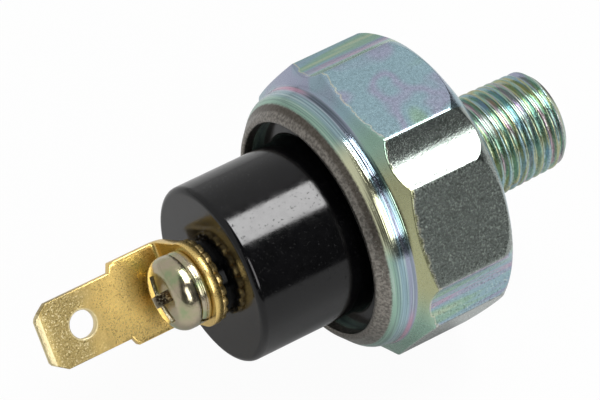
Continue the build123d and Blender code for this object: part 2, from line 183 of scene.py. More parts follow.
class ScrewSizes(bpy.types.PropertyGroup):
    """Sizes of the terminal screw and its spring washer."""

    shank_radius: length("Shank radius", 2.0, "Radius of the screw's shank")
    shank_end: length("Shank end", 21.14, "From the shoulder face to the screw's end")
    head_radius: length("Head radius", 3.5, "Radius of the pan head")
    head_height: length("Head height", 2.3, "Height of the pan head")
    head_side: length("Head side", 0.7, "Height of the head's straight side")
    crown_radius: length("Crown radius", 2.0, "Radius of the flatter top of the head")
    crown_drop: length("Crown drop", 0.25, "Fall of the head's top out to the crown radius")
    recess_span: length("Recess span", 4.4, "Span of the cross recess")
    recess_wing: length("Recess wing", 1.05, "Width of a wing of the cross recess")
    recess_depth: length("Recess depth", 1.7, "Depth of the cross recess")
    recess_turn: angle("Recess turn", 34.7, "Turn of the cross recess")
    washer_radius: length("Washer radius", 3.45, "Outer radius of the spring washer")
    washer_hole: length("Washer hole", 2.1, "Inner radius of the spring washer")
    washer_thickness: length("Washer thickness", 1.05, "Thickness of the spring washer")
    washer_split: length("Washer split", 0.5, "Width of the washer's split")


class SpringSizes(bpy.types.PropertyGroup):
    """Sizes of the calibration spring."""

    wire_radius: length("Wire radius", 0.3, "Radius of the spring's wire")
    coil_radius: length("Coil radius", 2.6, "Radius of the coil at the wire's middle")
    turns: FloatProperty(name="Turns", description="Turns of the coil", default=5.5, min=1)


class FinishColours(bpy.types.PropertyGroup):
    """Colours of the finishes."""

    zinc_teal: colour("Zinc teal", (0.335, 0.49, 0.555), "Main colour of the passivated zinc")
    zinc_lilac: colour("Zinc lilac", (0.39, 0.42, 0.55), "Lilac patches of the zinc")
    zinc_green: colour("Zinc green", (0.33, 0.51, 0.41), "Green patches of the zinc")
    zinc_olive: colour("Zinc olive", (0.46, 0.47, 0.27), "Olive of the turned cone")
    # this yellow is also a painted highlight on the collar where it looks up and to the front
    zinc_yellow: colour("Zinc yellow", (0.76, 0.77, 0.52), "Pale yellow of the zinc")
    zinc_pink: colour("Zinc pink", (0.60, 0.36, 0.48), "Pink streaks of the zinc")
    # this grey is painted shade on the flats facing the front and in the hollows facing up
    zinc_shade_grey: colour("Zinc grey", (0.30, 0.34, 0.315), "Greyer film of the sides")
    lip_grey: colour("Lip grey", (0.225, 0.208, 0.185), "Brushed grey of the rolled lip")
    brass: colour("Brass", (0.40, 0.305, 0.12), "Matte brass of the tab")
    # this pale brass is also a painted highlight along the tip's bevel and round the hole
    brass_pale: colour("Pale brass", (0.86, 0.75, 0.46), "Pale specks and worn edges of the tab")
    # this gold is partly the brass's own tone, partly painted light beside the screw head
    brass_gold: colour("Brass gold", (0.86, 0.62, 0.22), "Deeper gold near the bend")
    screw_zinc: colour("Screw zinc", (0.46, 0.43, 0.28), "Yellowish zinc of the screw")
    phenolic: colour("Phenolic", (0.0015, 0.0015, 0.0018), "Black of the moulding")


class StageSettings(bpy.types.PropertyGroup):
    """Settings of the stage."""

    floor_size: length("Floor size", 6000.0, "Width of the floor")
    key_light: FloatProperty(
        name="Key light", description="Radiance of the long soft light overhead", default=16.5
    )
    side_light: FloatProperty(
        name="Side light", description="Radiance of the soft light beside the camera", default=4.8
    )
    room: FloatProperty(name="Room", description="Brightness of the pale side", default=0.62)
    shade: FloatProperty(name="Shade", description="Brightness of the dark side", default=0.06)


# Shapes


def quad_grid(rows, columns, close_rows, close_columns):
    """Faces of a grid of points: each point is joined to the next in its row and in its column."""
    last_row = rows if close_rows else rows - 1
    last_column = columns if close_columns else columns - 1
    i, j = np.meshgrid(np.arange(last_row), np.arange(last_column), indexing="ij")
    i2, j2 = (i + 1) % rows, (j + 1) % columns
    faces = np.stack([i * columns + j, i2 * columns + j, i2 * columns + j2, i * columns + j2], -1)
    return faces.reshape(-1, 4)


def capped_tube(rows, columns):
    """Faces of a grid that is closed round its columns, with a face over each end."""
    faces = quad_grid(rows, columns, False, True).tolist()
    faces.append(list(range(columns)))
    faces.append(list(range((rows - 1) * columns, rows * columns))[::-1])
    return faces


def round_corners(control, radii, steps=5):
    """Polylines with their corners rounded, in metres.

    control is (lines, corners, 2). A corner of radius R and turn T is replaced by the conic that
    leaves R tan(T/2) before the corner and ends R tan(T/2) after it, with weight cos(T/2). A
    corner with no radius stays one point.
    """
    longest_share = 0.45
    s = np.linspace(0, 1, steps + 1)[None, :, None]
    out = [control[:, :1]]
    for k in range(1, control.shape[1] - 1):
        corner = control[:, k]
        if radii[k] == 0:
            out.append(corner[:, None])
            continue
        back, on = control[:, k - 1] - corner, control[:, k + 1] - corner
        back_length = np.linalg.norm(back, axis=1)
        on_length = np.linalg.norm(on, axis=1)
        back_way, on_way = back / back_length[:, None], on / on_length[:, None]
        turn = np.arccos(np.clip(-(back_way * on_way).sum(1), -1, 1))
        limit = longest_share * np.minimum(back_length, on_length)
        reach = np.minimum(radii[k] * np.tan(turn / 2), limit)
        a = (corner + back_way * reach[:, None])[:, None]
        b = corner[:, None]
        c = (corner + on_way * reach[:, None])[:, None]
        weight = np.cos(turn / 2)[:, None, None]
        share = (1 - s) ** 2 + 2 * weight * s * (1 - s) + s**2
        out.append(((1 - s) ** 2 * a + 2 * weight * s * (1 - s) * b + s**2 * c) / share)
    out.append(control[:, -1:])
    return np.concatenate(out, 1)


def profile_lines(corners, count=1):
    """Control lines of a profile and the radii of its corners.

    corners holds (x, radius, rounding in mm). x and radius are one number, or one for each line.
    """
    every = np.zeros(count)
    lines = np.stack([np.stack([x + every, r + every], -1) for x, r, _ in corners], 1)
    return lines, [rounding * MM for _, _, rounding in corners]


def closed_profile(corners, count=1, steps=5):
    """A closed profile with rounded corners, which starts in the middle of its last side."""
    lines, radii = profile_lines(corners, count)
    middle = (lines[:, :1] + lines[:, -1:]) / 2
    closed = np.concatenate([middle, lines, middle], 1)
    return round_corners(closed, [0, *radii, 0], steps)[:, :-1]


def around_axis(x, radius, theta):
    """Points at x along the axis, at a radius, turned by theta from +Y towards +Z."""
    x, radius, theta = np.broadcast_arrays(x, radius, theta)
    return np.stack([x, radius * np.cos(theta), radius * np.sin(theta)], -1)


def turned(profile, theta):
    """Points and faces of closed profiles carried round the axis, to the angles theta."""
    points = around_axis(profile[..., 0], profile[..., 1], theta[:, None])
    return points, quad_grid(*points.shape[:2], True, True)


def whole_circle(count):
    """Angles evenly round a circle."""
    return np.linspace(0, 2 * math.pi, count, endpoint=False)


def add_to_scene(name, data):
    """A new object in the scene."""
    made = bpy.data.objects.new(name, data)
    bpy.context.scene.collection.objects.link(made)
    return made


def make_piece(
    name, points, faces, material, node, body="housing", sharp=None, bevel_width=None
):
    """A closed mesh with its doubles merged and its faces outwards, in place of a CAD node.

    faces is an array of four-sided faces or a list. The piece rides on a CAD body, unless body is
    None. sharp is the angle in degrees past which edges stay sharp.
    """
    mesh = bpy.data.meshes.new(name)
    faces = faces if isinstance(faces, list) else faces.tolist()
    mesh.from_pydata(points.reshape(-1, 3).tolist(), [], faces)
    shape = bmesh.new()
    shape.from_mesh(mesh)
    bmesh.ops.remove_doubles(shape, verts=shape.verts, dist=SAME_PLACE)
    bmesh.ops.dissolve_degenerate(shape, edges=shape.edges, dist=SAME_PLACE / 10)
    bmesh.ops.recalc_face_normals(shape, faces=shape.faces)
    shape.to_mesh(mesh)
    shape.free()
    mesh.validate()
    mesh.shade_smooth()
    if sharp is not None:
        mesh.set_sharp_from_angle(angle=math.radians(sharp))
    mesh.materials.append(material)
    piece = add_to_scene(name, mesh)
    if bevel_width is not None:
        bevel = piece.modifiers.new("Edges", "BEVEL")
        bevel.width, bevel.segments, bevel.angle_limit = bevel_width, 2, math.radians(50)
    normals = piece.modifiers.new("Face normals", "WEIGHTED_NORMAL")
    normals.keep_sharp = True
    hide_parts(node)
    if body is not None:
        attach(piece, body)
    return piece


# Steel body


def section_angles():
    """Angles round the body: close together over the hexagon's edges, wider over its faces."""
    # an edge's place on its flat and the flat's distance, in mm, and the degrees beside an edge
    half_flat, flat_distance, near_edge = 4.9, 13.5, 1.7
    edge = math.degrees(math.atan2(half_flat, flat_distance))
    # from, to and number of angles
    stretches = (
        (-edge + near_edge, edge - near_edge, 10),
        (edge - near_edge, edge + near_edge, 15),
        (edge + near_edge, 60 - edge - near_edge, 12),
        (60 - edge - near_edge, 60 - edge + near_edge, 15),
    )
    sector = np.concatenate([np.linspace(*stretch)[:-1] for stretch in stretches])
    turns = np.arange(6)[:, None] * 60.0 + 90.0
    return np.radians((sector[None] + turns).ravel())


def hexagon_radius(sizes, theta):
    """Radius of the hexagon's section in the direction theta.

    A flat lies at A / cos(p), p from the flat's middle. A hollow is a circle of radius R centred
    on the corner's line at D: D cos(q) - sqrt(R^2 - D^2 sin^2(q)), q from that line. The two are
    joined by a soft minimum, which rounds the edge between them. Returns it and the edge's radius.
    """
    sixth, half_sixth = math.radians(60), math.radians(30)
    flat_distance = sizes.across_flats / 2
    half_width = sizes.hollow_width / 2
    half_flat = flat_distance * math.tan(half_sixth) - half_width / math.cos(half_sixth)
    edge = math.hypot(flat_distance, half_flat)
    ring = (half_width**2 + sizes.hollow_depth**2) / 2 / sizes.hollow_depth
    centre = math.sqrt(edge**2 - half_width**2) - sizes.hollow_depth + ring
    p = theta % sixth - half_sixth
    q = half_sixth - np.abs(p)
    flat = flat_distance / np.cos(p)
    inside = ring**2 - (centre * np.sin(q)) ** 2
    hollow = np.where(inside > 0, centre * np.cos(q) - np.sqrt(np.maximum(inside, 0)), 2 * edge)
    # the soft minimum takes this share of the rounding's radius off the edge
    edge_loss = 0.136
    sharpness = math.log(2) / (sizes.arris * edge_loss)
    radius = -np.logaddexp(-sharpness * flat, -sharpness * hollow) / sharpness
    return radius, edge


def thread_grid(sizes, theta, samples_per_turn=13):
    """The thread from the spigot's end to the shoulder: a right-hand helix cut into a taper.

    The radius is the taper's, less the depth times a rounded saw of the phase
    x / pitch - theta / 2 pi, which fades out at the shoulder. A cone bounds it at the end.
    """
    start, stop = sizes.spigot_length, THREAD_STOP
    # the root's and the flank's shares of half a pitch, and how far the flank is rounded
    root_flat, flank, roundness = 0.14, 0.70, 0.6
    fade_start, fade_length, neck = 0.3 * MM, 0.9 * MM, 0.12 * MM
    end_step, end_slope = 0.62 * MM, 0.95
    count = int((start - stop) / sizes.pitch * samples_per_turn)
    x = np.linspace(start, stop, count)[None, :]
    taper = sizes.thread_large + (sizes.thread_small - sizes.thread_large) * x / start
    phase = (x / sizes.pitch - theta[:, None] / (2 * math.pi)) % 1.0
    rise = np.clip((np.abs(2 * phase - 1) - root_flat) / flank, 0, 1)
    crest = roundness * rise * rise * (3 - 2 * rise) + (1 - roundness) * rise
    fade = np.clip((x - fade_start) / fade_length, 0, 1)
    radius = taper - sizes.thread_depth * (1 - crest) * fade - neck * (1 - fade)
    end_cone = sizes.thread_small - end_step + (start - x) * end_slope
    return np.broadcast_to(x, radius.shape), np.minimum(radius, end_cone)


def rounded_back(sizes, side, edge):
    """Corners of the hexagon's rounded back, from the side's radius down to the back cone.

    They lie on an arc of radius R that is tangent to the long edges: x = X + R sin(t) and
    radius = edge - R + R cos(t), from the turn t at which the arc meets the side.
    """
    full_turn = math.pi / 2 - sizes.chamfer
    arc = sizes.back_round
    arc_x = -sizes.back_edge - arc * math.tan(full_turn / 2)
    first_turn = np.arccos(1 - np.clip((edge - side) / arc, 0, 1 - math.cos(full_turn)))
    corners = []
    for share in np.linspace(0, 1, 9):
        turn = first_turn + (full_turn - first_turn) * share
        rounding = 0.25 if share == 0 else 0
        corners.append((arc_x + arc * np.sin(turn), edge - arc + arc * np.cos(turn), rounding))
    return corners


def body_skin(sizes):
    """The body's whole skin: one closed profile, carried round the axis.

    For each angle the profile runs along the thread, over the shoulder, the hexagon's back cone,
    its side at the section's radius, the front cone, the collar and the lip, and returns through
    the chamber, the oil pocket, the orifice and the port.
    """
    port_end_x, pocket_depth, drill_point = 1.75 * MM, 1.0 * MM, math.radians(59)
    theta = section_angles()
    side, edge = hexagon_radius(sizes, theta)
    rise = math.tan(sizes.chamfer)
    collar = sizes.across_flats / 2 - sizes.collar_step
    collar_x = -sizes.front_edge - (edge - collar) * rise
    lip_x = collar_x - sizes.collar_length
    shoulder = collar - sizes.collar_taper
    chamber = collar - sizes.collar_wall
    opening = chamber - sizes.lip_overlap
    flange_x = lip_x + sizes.lip_thickness
    point_x = port_end_x - (sizes.port_radius - sizes.orifice_radius) / math.tan(drill_point)
    pocket_x = -sizes.seat + pocket_depth
    thread_x, thread_r = thread_grid(sizes, theta)
    corners = [
        (THREAD_STOP, thread_r[:, -1], 0),
        (0.0, thread_r[:, -1] + 0.15 * MM, 0.1),
        (0.0, edge - sizes.back_edge / rise, 0.3),
        *rounded_back(sizes, side, edge)[::-1],
        (-sizes.front_edge - (edge - side) * rise, side, 0.22),
        (collar_x, collar, 1.0),
        (lip_x + sizes.cone, shoulder, 1.3),
        (lip_x, shoulder - sizes.cone, 0.6),
        (lip_x, opening, 0.2),
        (flange_x, opening, 0.05),
        (flange_x, chamber, 0.05),
        (-sizes.seat, chamber, 0.1),
        (-sizes.seat, sizes.pocket_radius, 0.05),
        (pocket_x, sizes.pocket_radius, 0.05),
        (pocket_x, sizes.orifice_radius, 0.05),
        (point_x, sizes.orifice_radius, 0.02),
        (port_end_x, sizes.port_radius, 0.05),
        (sizes.spigot_length, sizes.port_radius, 0.2),
        (sizes.spigot_length, thread_r[:, 0], 0),
    ]
    skin = round_corners(*profile_lines(corners, len(theta)))
    thread = np.stack([thread_x, thread_r], -1)
    return turned(np.concatenate([thread[:, :-1], skin[:, :-1]], 1), theta)


class SENDER_OT_body(bpy.types.Operator):
    """Build the steel body with its hexagon, thread and rolled collar"""

    bl_idname = "sender.body"
    bl_label = "Steel body"

    def execute(self, context):
        points, faces = body_skin(context.scene.sender_body)
        make_piece("steel_body", points, faces, zinc_body_finish(), "hex_body")
        return {"FINISHED"}


# Black moulding and brass insert


def boss_front_x():
    """Where the insert's boss ends and the blade's ring starts, along the axis."""
    s = bpy.context.scene.sender_insulator
    return -s.front - s.boss_length


class SENDER_OT_insulator(bpy.types.Operator):
    """Build the black moulded insulator"""

    bl_idname = "sender.insulator"
    bl_label = "Insulator"

    def execute(self, context):
        s = context.scene.sender_insulator
        gap = 0.05 * MM
        collar_end = -s.collar_start - s.collar_length
        sleeve_end = boss_front_x() + s.knurl_length
        bore, groove = s.insert_radius + gap, s.collar_radius + gap
        corners = [
            (-s.flange_back, s.cavity_radius, 0.1),
            (-s.flange_back, s.flange_radius, 0.15),
            (-s.flange_front, s.flange_radius, 0.15),
            (-s.flange_front, s.radius, 0.5),
            (-s.front, s.radius, s.bevel / MM),
            (-s.front, s.sleeve_radius, 0.01),
            (sleeve_end, s.sleeve_radius, 0.2),
            (sleeve_end, bore, 0.05),
            (collar_end, bore, 0.05),
            (collar_end, groove, 0.05),
            (-s.collar_start, groove, 0.05),
            (-s.collar_start, bore, 0.05),
            (-s.cavity_end, bore, 0.05),
            (-s.cavity_end, s.cavity_radius, 0.2),
        ]
        points, faces = turned(closed_profile(corners), whole_circle(180))
        make_piece(
            "insulator_moulding", points, faces, phenolic_finish(), "insulator"
        )
        return {"FINISHED"}


class SENDER_OT_insert(bpy.types.Operator):
    """Build the brass insert with its knurled boss"""

    bl_idname = "sender.insert"
    bl_label = "Brass insert"

    def execute(self, context):
        s = context.scene.sender_insulator
        # a tooth is level over its land, then falls straight to the notch beside it
        per_tooth, land, depth = 10, 0.42, 0.28 * MM
        theta = whole_circle(s.teeth * per_tooth)
        saw = np.abs((theta * s.teeth / (2 * math.pi)) % 1.0 * 2 - 1)
        knurl = s.boss_radius - np.clip((saw - land) / (1 - land), 0, 1) * depth
        tip = boss_front_x()
        knurl_back = tip + s.knurl_length
        collar_end = -s.collar_start - s.collar_length
        corners = [
            (-s.cavity_end, s.insert_hole, 0.15),
            (-s.cavity_end, s.insert_radius, 0.15),
            (-s.collar_start, s.insert_radius, 0.05),
            (-s.collar_start, s.collar_radius, 0.15),
            (collar_end, s.collar_radius, 0.15),
            (collar_end, s.insert_radius, 0.05),
            (knurl_back, s.insert_radius, 0),
            (knurl_back, knurl, 0.12),
            (tip, knurl, 0.12),
            (tip, s.insert_hole, 0.1),
        ]
        points, faces = turned(closed_profile(corners, len(theta), 3), theta)
        make_piece(
            "knurled_insert",
            points,
            faces,
            insert_finish(),
            "terminal_insert",
            sharp=35,
        )
        return {"FINISHED"}


# Blade terminal


def fan_patch(hole, boundary, steps):
    """A ring of surface between a hole and a boundary: straight lines, closer near both."""
    s = (0.5 - 0.5 * np.cos(np.linspace(0, math.pi, steps)))[:, None, None]
    return hole[None] * (1 - s) + boundary[None] * s


def hole_facing(boundary, centre_u, radius):
    """Points on a hole in the same directions from its centre as a boundary's points."""
    turn = np.arctan2(boundary[:, 1], boundary[:, 0] - centre_u)
    return np.stack([centre_u + radius * np.cos(turn), radius * np.sin(turn)], -1)


def terminal_plan(s):
    """The terminal cut flat: points (u, v), u along the strip from the ring's middle, and faces.

    Three patches share their borders: a ring patch round the screw's hole, a grid along the strip
    and a ring patch round the tab's hole. Doubles are merged by their place. Also returns where
    the tip is, the bend's length and its middle radius.
    """
    shoulder_slope, corner_round, corner_front = 0.35 * MM, 0.2 * MM, 0.25 * MM
    corner_share, tab_patch_share = 0.93, 0.75
    half_strip, half_tab = s.strip_width / 2, s.tab_width / 2
    middle_radius = s.bend_radius + s.thickness / 2
    bend_length = middle_radius * math.pi / 2
    tip = s.bend_start + bend_length + s.reach - s.bend_radius
    hole_u = tip - s.hole_to_tip
    shoulder = tip - s.tab_length
    tab_line = hole_u - s.hole_to_tip * tab_patch_share
    v = np.linspace(-1, 1, 21)

    def across(u, half):
        """A straight line of points across the strip."""
        return np.stack([np.full(len(v), u), v * half], -1)

    # ring round the screw's hole
    corner_u = math.sqrt(s.ring_radius**2 - half_strip**2)
    start = math.atan2(half_strip, corner_u)
    sweep = np.linspace(start, 2 * math.pi - start, 60)
    arc = s.ring_radius * np.stack([np.cos(sweep), np.sin(sweep)], -1)
    line_u = np.linspace(s.bend_start, corner_u, 7)[1:-1]
    upper = np.stack([line_u, np.full(len(line_u), half_strip)], -1)
    lower = upper[::-1] * [1, -1]
    boundary = np.concatenate([across(s.bend_start, half_strip), upper, arc, lower])
    ring = fan_patch(hole_facing(boundary, 0, s.ring_hole), boundary, 7)
    # strip: through the bend and past the shoulders
    u = np.concatenate(
        [
            np.linspace(s.bend_start, s.bend_start + bend_length, 13)[:-1],
            np.linspace(s.bend_start + bend_length, shoulder - shoulder_slope, 8)[:-1],
            np.linspace(shoulder - shoulder_slope, shoulder, 3)[:-1],
            np.linspace(shoulder, tab_line, 4),
        ]
    )
    width = np.interp(u, [shoulder - shoulder_slope, shoulder], [half_strip, half_tab])
    strip = np.stack([np.broadcast_to(u[:, None], (len(u), len(v))), width[:, None] * v], -1)
    # tab round its hole
    cut = np.array(
        [
            (tip - s.corner_length, half_tab),
            (tip - corner_round, half_tab - s.corner_width * corner_share),
            (tip, half_tab - s.corner_width - corner_front),
        ]
    )
    side_u = np.linspace(tab_line, tip - s.corner_length, 11)[1:-1]
    side = np.stack([side_u, np.full(len(side_u), half_tab)], -1)
    slope = cut[0] + (cut[1] - cut[0]) * np.linspace(0, 1, 6)[:, None]
    half = np.concatenate([side, slope, cut[2:]])
    front_v = np.linspace(half[-1, 1], -half[-1, 1], 13)[1:-1]
    front = np.stack([np.full(len(front_v), tip), front_v], -1)
    mirrored = half[::-1] * [1, -1]
    boundary = np.concatenate([across(tab_line, half_tab), half, front, mirrored])
    tab = fan_patch(hole_facing(boundary, hole_u, s.hole_radius), boundary, 9)
    points, faces, offset = [], [], 0
    for patch, closed in ((ring, True), (strip, False), (tab, True)):
        points.append(patch.reshape(-1, 2))
        faces.append(quad_grid(patch.shape[0], patch.shape[1], False, closed) + offset)
        offset += patch.shape[0] * patch.shape[1]
    points, faces = np.concatenate(points), np.concatenate(faces)
    places = np.round(points / SAME_PLACE).astype(np.int64)
    first, index = np.unique(places, axis=0, return_index=True, return_inverse=True)[1:]
    return points[first], index.ravel()[faces], tip, bend_length, middle_radius


def both_sides(front, back, faces):
    """Points and faces of a sheet's two sides, with walls along the sheet's open edges."""
    edges = np.concatenate([faces[:, [k, (k + 1) % 4]] for k in range(4)])
    index, counts = np.unique(
        np.sort(edges, 1), axis=0, return_inverse=True, return_counts=True
    )[1:]
    rim = edges[counts[index.ravel()] == 1]
    below = len(front)
    walls = np.stack([rim[:, 1], rim[:, 0], rim[:, 0] + below, rim[:, 1] + below], -1)
    return np.concatenate([front, back]), np.concatenate([faces, faces[:, ::-1] + below, walls])


class SENDER_OT_terminal(bpy.types.Operator):
    """Build the bent brass blade terminal"""

    bl_idname = "sender.terminal"
    bl_label = "Blade terminal"

    def execute(self, context):
        s = context.scene.sender_terminal
        plan, faces, tip, bend_length, middle_radius = terminal_plan(s)
        bend_x = boss_front_x() - s.thickness - s.bend_radius
        u, v = plan[:, 0], plan[:, 1]
        thin = s.bevel_depth * np.clip((u - tip + s.bevel_length) / s.bevel_length, 0, 1)

        def folded(offset):
            """The flat strip folded once: u runs out from the axis, round the bend, then along -X.

            In the bend the point turns by (u - start) / middle radius about the bend's centre.
            """
            turn = np.clip((u - s.bend_start) / middle_radius, 0, math.pi / 2)
            reach = middle_radius - offset
            x = bend_x + reach * np.cos(turn)
            out = s.bend_start + reach * np.sin(turn)
            out = np.where(u < s.bend_start, u, out)
            x = np.where(u > s.bend_start + bend_length, x - (u - s.bend_start - bend_length), x)
            away = np.array([math.sin(s.turn), -math.cos(s.turn)])
            across = np.array([math.cos(s.turn), math.sin(s.turn)])
            yz = out[:, None] * away + v[:, None] * across
            return np.concatenate([x[:, None], yz], 1)

        half = s.thickness / 2
        points, faces = both_sides(folded(half - thin), folded(thin - half), faces)
        make_piece(
            "blade_strip",
            points,
            faces,
            terminal_finish(),
            "blade_terminal",
            bevel_width=0.12 * MM,
        )
        return {"FINISHED"}


# Spring washer, screw and calibration spring


class SENDER_OT_washer(bpy.types.Operator):
    """Build the split spring washer"""

    bl_idname = "sender.washer"
    bl_label = "Spring washer"

    def execute(self, context):
        s = context.scene.sender_screw
        back = boss_front_x() - context.scene.sender_terminal.thickness
        front = back - s.washer_thickness
        cut_lean, cut_place = math.radians(30), math.radians(200)
        section = closed_profile(
            [
                (back, s.washer_hole, 0.1),
                (back, s.washer_radius, 0.26),
                (front, s.washer_radius, 0.26),
                (front, s.washer_hole, 0.1),
            ]
        )[0]
        gap = s.washer_split / s.washer_radius
        theta = np.linspace(gap / 2, 2 * math.pi - gap / 2, 97)
        # the cut through the washer leans: each end is turned in proportion to x, and a high
        # power of the distance from the washer's middle keeps that close to the ends
        lean = np.tan(cut_lean) * (section[None, :, 0] - (back + front) / 2)
        ends = np.abs(theta[:, None] / math.pi - 1) ** 8
        turn = theta[:, None] + lean * ends / s.washer_radius + cut_place
        points = around_axis(section[None, :, 0], section[None, :, 1], turn)
        make_piece(
            "split_washer",
            points,
            capped_tube(*turn.shape),
            fastener_finish("washer zinc", 0.22, lines=0.08),
            "spring_washer",
            sharp=50,
        )
        return {"FINISHED"}


def cross_outline(half_span, half_wing, s):
    """An eighth of a cross: along the wing's end for s up to 1, then back along its side."""
    end = np.minimum(s, 1)
    side = np.maximum(s - 1, 0)
    return half_span + (half_wing - half_span) * side, half_wing * end


def rotated(pairs, turn):
    """Pairs of y and z turned about the axis."""
    c, d = math.cos(turn), math.sin(turn)
    return pairs @ np.array([[c, d], [-d, c]])


def whole_turn(y, z):
    """An eighth of an outline, mirrored and turned into the whole outline."""
    quarter = np.stack([np.append(y, z[::-1][1:]), np.append(z, y[::-1][1:])], -1)
    return np.concatenate([rotated(quarter, k * math.pi / 2)[:-1] for k in range(4)])


def pan_head_x(s, radius, front):
    """The pan head's outer face, as x: a shallow dome to the crown, then a quarter ellipse."""
    crown_share, fullness = 0.45, 2.1
    dome = s.crown_drop * (radius / s.crown_radius) ** 2
    out = np.clip((radius - s.crown_radius) / (s.head_radius - s.crown_radius), 0, 1)
    slope = crown_share * s.crown_drop
    fall = s.head_height - s.head_side - s.crown_drop - slope
    shoulder = s.crown_drop + slope * out + fall * (1 - np.sqrt(1 - out**fullness))
    return front + np.where(radius < s.crown_radius, dome, shoulder)


def screw_rings(s, back, front):
    """The screw as rings of points (x, y, z), from the recess's floor over the head to its end.

    A ring is an outline at an x: the recess's floor and walls follow a cross, the rings round
    them pass from that cross to a circle, and the rest are circles.
    """
    taper, edge, inner_circle, head_round = 0.30 * MM, 0.05 * MM, 2.55 * MM, 0.12 * MM
    floor_rise, tip_chamfer, neck = 0.5 * MM, 0.4 * MM, 0.1 * MM
    step = np.concatenate([np.linspace(0, 1, 5), np.linspace(1, 2, 9)[1:]])
    half_span, half_wing = s.recess_span / 2, s.recess_wing / 2
    corner = math.atan2(half_wing, half_span)
    phi = np.where(step <= 1, corner * step, corner + (math.pi / 4 - corner) * (step - 1))
    circle = whole_turn(np.cos(phi), np.sin(phi))
    rim = whole_turn(*cross_outline(half_span, half_wing, step))
    rim_r = np.hypot(*rim.T)
    floor = whole_turn(*cross_outline(half_span - taper * 1.6, half_wing - taper, step))
    floor_r = np.hypot(*floor.T)
    depth = front + s.recess_depth
    rings = []

    def add(outline, x):
        """One more ring."""
        rings.append(np.concatenate([np.broadcast_to(x, len(outline))[:, None], outline], 1))

    for share in (0, 0.35, 0.7, 1.0):
        add(floor * share, depth - floor_rise * (floor_r * share / half_span) ** 1.5)
    floor_x = rings[-1][:, 0]
    for share in (0.5, 0.92):
        wall = floor * (1 - share) + rim * share
        add(wall, floor_x * (1 - share) + pan_head_x(s, rim_r, front) * share)
    rim_out = rim * (1 + edge / rim_r[:, None])
    for share in (0, 0.25, 0.5, 0.75, 1.0):
        ring = rim_out * (1 - share) + circle * inner_circle * share
        add(ring, pan_head_x(s, np.hypot(*ring.T), front))
    for share in np.sin(np.linspace(0, math.pi / 2, 12))[1:]:
        radius = inner_circle + (s.head_radius - inner_circle) * share
        add(circle * radius, pan_head_x(s, np.full(1, radius), front)[0])
    for radius, x in (
        (s.head_radius, back - head_round),
        (s.head_radius - head_round / 4, back - head_round / 3),
        (s.head_radius - head_round, back),
        (s.shank_radius + neck, back),
        (s.shank_radius, back + neck),
        (s.shank_radius, -s.shank_end - tip_chamfer),
        (s.shank_radius - tip_chamfer, -s.shank_end),
        (0.0, -s.shank_end),
    ):
        add(circle * radius, x)
    return np.array(rings)


class SENDER_OT_screw(bpy.types.Operator):
    """Build the pan head terminal screw with its cross recess"""

    bl_idname = "sender.screw"
    bl_label = "Terminal screw"

    def execute(self, context):
        s = context.scene.sender_screw
        back = boss_front_x() - context.scene.sender_terminal.thickness - s.washer_thickness
        front = back - s.head_height
        points = screw_rings(s, back, front)
        points[..., 1:] = rotated(points[..., 1:], s.recess_turn)
        faces = quad_grid(points.shape[0], points.shape[1], False, True)
        make_piece(
            "pan_head_screw",
            points,
            faces,
            fastener_finish("screw zinc", 0.2, recess_x=front / MM + 0.4),
            "terminal_screw",
            sharp=38,
        )
        return {"FINISHED"}


def spring_points(s, front, back, per_turn=36, around=16):
    """A circle carried along a helix and cut flat at both ends, as a grid of points.

    At the turn t the helix is at (back - rise t, -R sin t, -R cos t). The circle lies in the
    plane of the outward way and of the way across the wire, and its x stays between the ends.
    """
    last = s.turns * 2 * math.pi
    rise = (back - front) / last
    t = np.linspace(0, last, int(s.turns * per_turn) + 1)[:, None]
    phi = whole_circle(around)[None, :]
    outward = s.coil_radius + s.wire_radius * np.cos(phi)
    across = s.wire_radius * np.sin(phi) / math.hypot(rise, s.coil_radius)
    x = back - rise * t + across * s.coil_radius
    y = -outward * np.sin(t) - across * rise * np.cos(t)
    z = -outward * np.cos(t) + across * rise * np.sin(t)
    return np.stack([np.clip(x, front, back), y, z], -1)


class SENDER_OT_spring(bpy.types.Operator):
    """Build the calibration spring, which is pressed together when the contact disc lifts"""

    bl_idname = "sender.spring"
    bl_label = "Calibration spring"

    def execute(self, context):
        low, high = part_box("calibration_spring")
        front, back = low[0], high[0]
        points = spring_points(context.scene.sender_spring, front, back)
        steel = plain_finish(
            "spring steel", (0.40, 0.40, 0.41), (0.58, 0.58, 0.57), 1.0, 0.28, 3.0, 0.005
        )
        piece = make_piece(
            "coil_spring",
            points,
            capped_tube(*points.shape[:2]),
            steel,
            "calibration_spring",
            body=None,
        )
        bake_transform(piece)
        return {"FINISHED"}


# Finishes


def scaled(value, factor):
    """A colour made brighter or darker."""
    return tuple(factor * part for part in value)


def between(a, b, share):
    """A colour between two others."""
    return tuple((1 - share) * p + share * q for p, q in zip(a, b))


